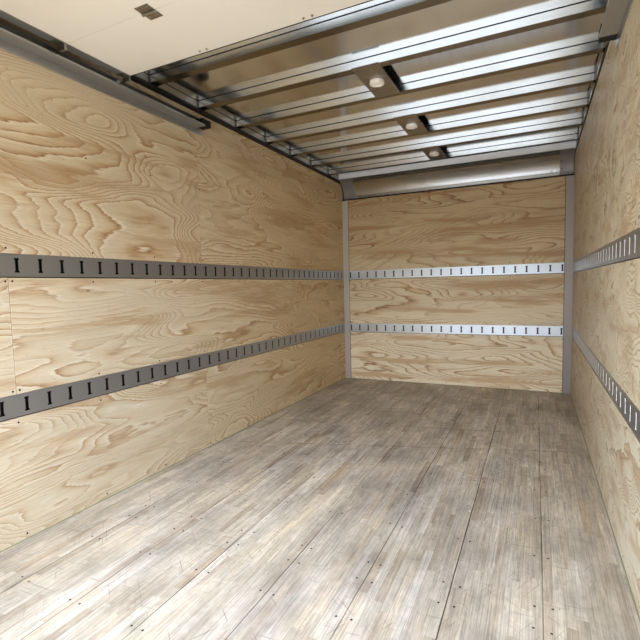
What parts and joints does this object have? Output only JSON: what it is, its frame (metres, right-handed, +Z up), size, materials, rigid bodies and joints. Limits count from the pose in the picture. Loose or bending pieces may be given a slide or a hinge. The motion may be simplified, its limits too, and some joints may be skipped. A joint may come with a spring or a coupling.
{
  "type": "box truck cargo body",
  "caption": "Dry-freight cargo body of a box truck: plywood-lined walls with slotted tie rails, hardwood floor, bowed aluminium roof and a roll-up rear door left partly open.",
  "frame": {"origin": "middle of the bounding box, on the undersides of the two long sills", "axes": "+Y towards the cab end, +X to the right when facing the cab end, +Z up"},
  "size_m": [2.438, 4.9464, 2.5546],
  "materials": {
    "mill_aluminium": "mill finish",
    "cast_aluminium": "as cast, dull grey",
    "white_sheet": "satin white coil coating",
    "white_steel": "white powder coat",
    "black_steel": "black chassis paint",
    "galvanised_steel": "hot-dip galvanised",
    "zinc_steel": "zinc plated",
    "pine_plywood": "bare rotary-cut pine plywood",
    "hardwood_floor": "bare laminated hardwood, lightly worn",
    "door_face": "white coated panel",
    "black_rubber": "moulded rubber",
    "wiring_black": "black sleeve",
    "lamp_white": "ribbed white lens",
    "lamp_red": "red lens",
    "lamp_amber": "amber lens",
    "stainless_steel": "brushed stainless"
  },
  "bodies": {
    "root": {"bottom_rail_left": "mill_aluminium", "bottom_rail_right": "mill_aluminium", "front_sill": "mill_aluminium", "top_rail_left": "mill_aluminium", "top_rail_right": "mill_aluminium", "roof_sheet": "mill_aluminium", "roof_bows": "mill_aluminium", "front_header": "mill_aluminium", "lamp_plates": "mill_aluminium", "corner_cap_left": "cast_aluminium", "corner_cap_right": "cast_aluminium", "corner_post_left": "cast_aluminium", "corner_post_right": "cast_aluminium", "side_panels_left": "white_sheet", "side_panels_right": "white_sheet", "front_panels": "white_sheet", "rear_post_left": "white_steel", "rear_post_right": "white_steel", "rear_header": "white_steel", "rear_sill": "white_steel", "long_sill_left": "black_steel", "long_sill_right": "black_steel", "cross_members": "black_steel", "counterbalance": "black_steel", "tie_rails_left": "galvanised_steel", "tie_rails_right": "galvanised_steel", "tie_rails_front": "galvanised_steel", "door_track_left": "galvanised_steel", "door_track_right": "galvanised_steel", "door_hinges": "zinc_steel", "door_rollers": "zinc_steel", "door_latch": "zinc_steel", "lining_left": "pine_plywood", "lining_right": "pine_plywood", "lining_front": "pine_plywood", "floor_boards": "hardwood_floor", "door_sections": "door_face", "dock_bumpers": "black_rubber", "track_stops": "black_rubber", "wiring_loom": "wiring_black", "dome_lamps": "lamp_white", "tail_lamps": "lamp_red", "rear_markers": "lamp_red", "front_markers": "lamp_amber", "grab_handles": "stainless_steel"}
  },
  "joints": []
}
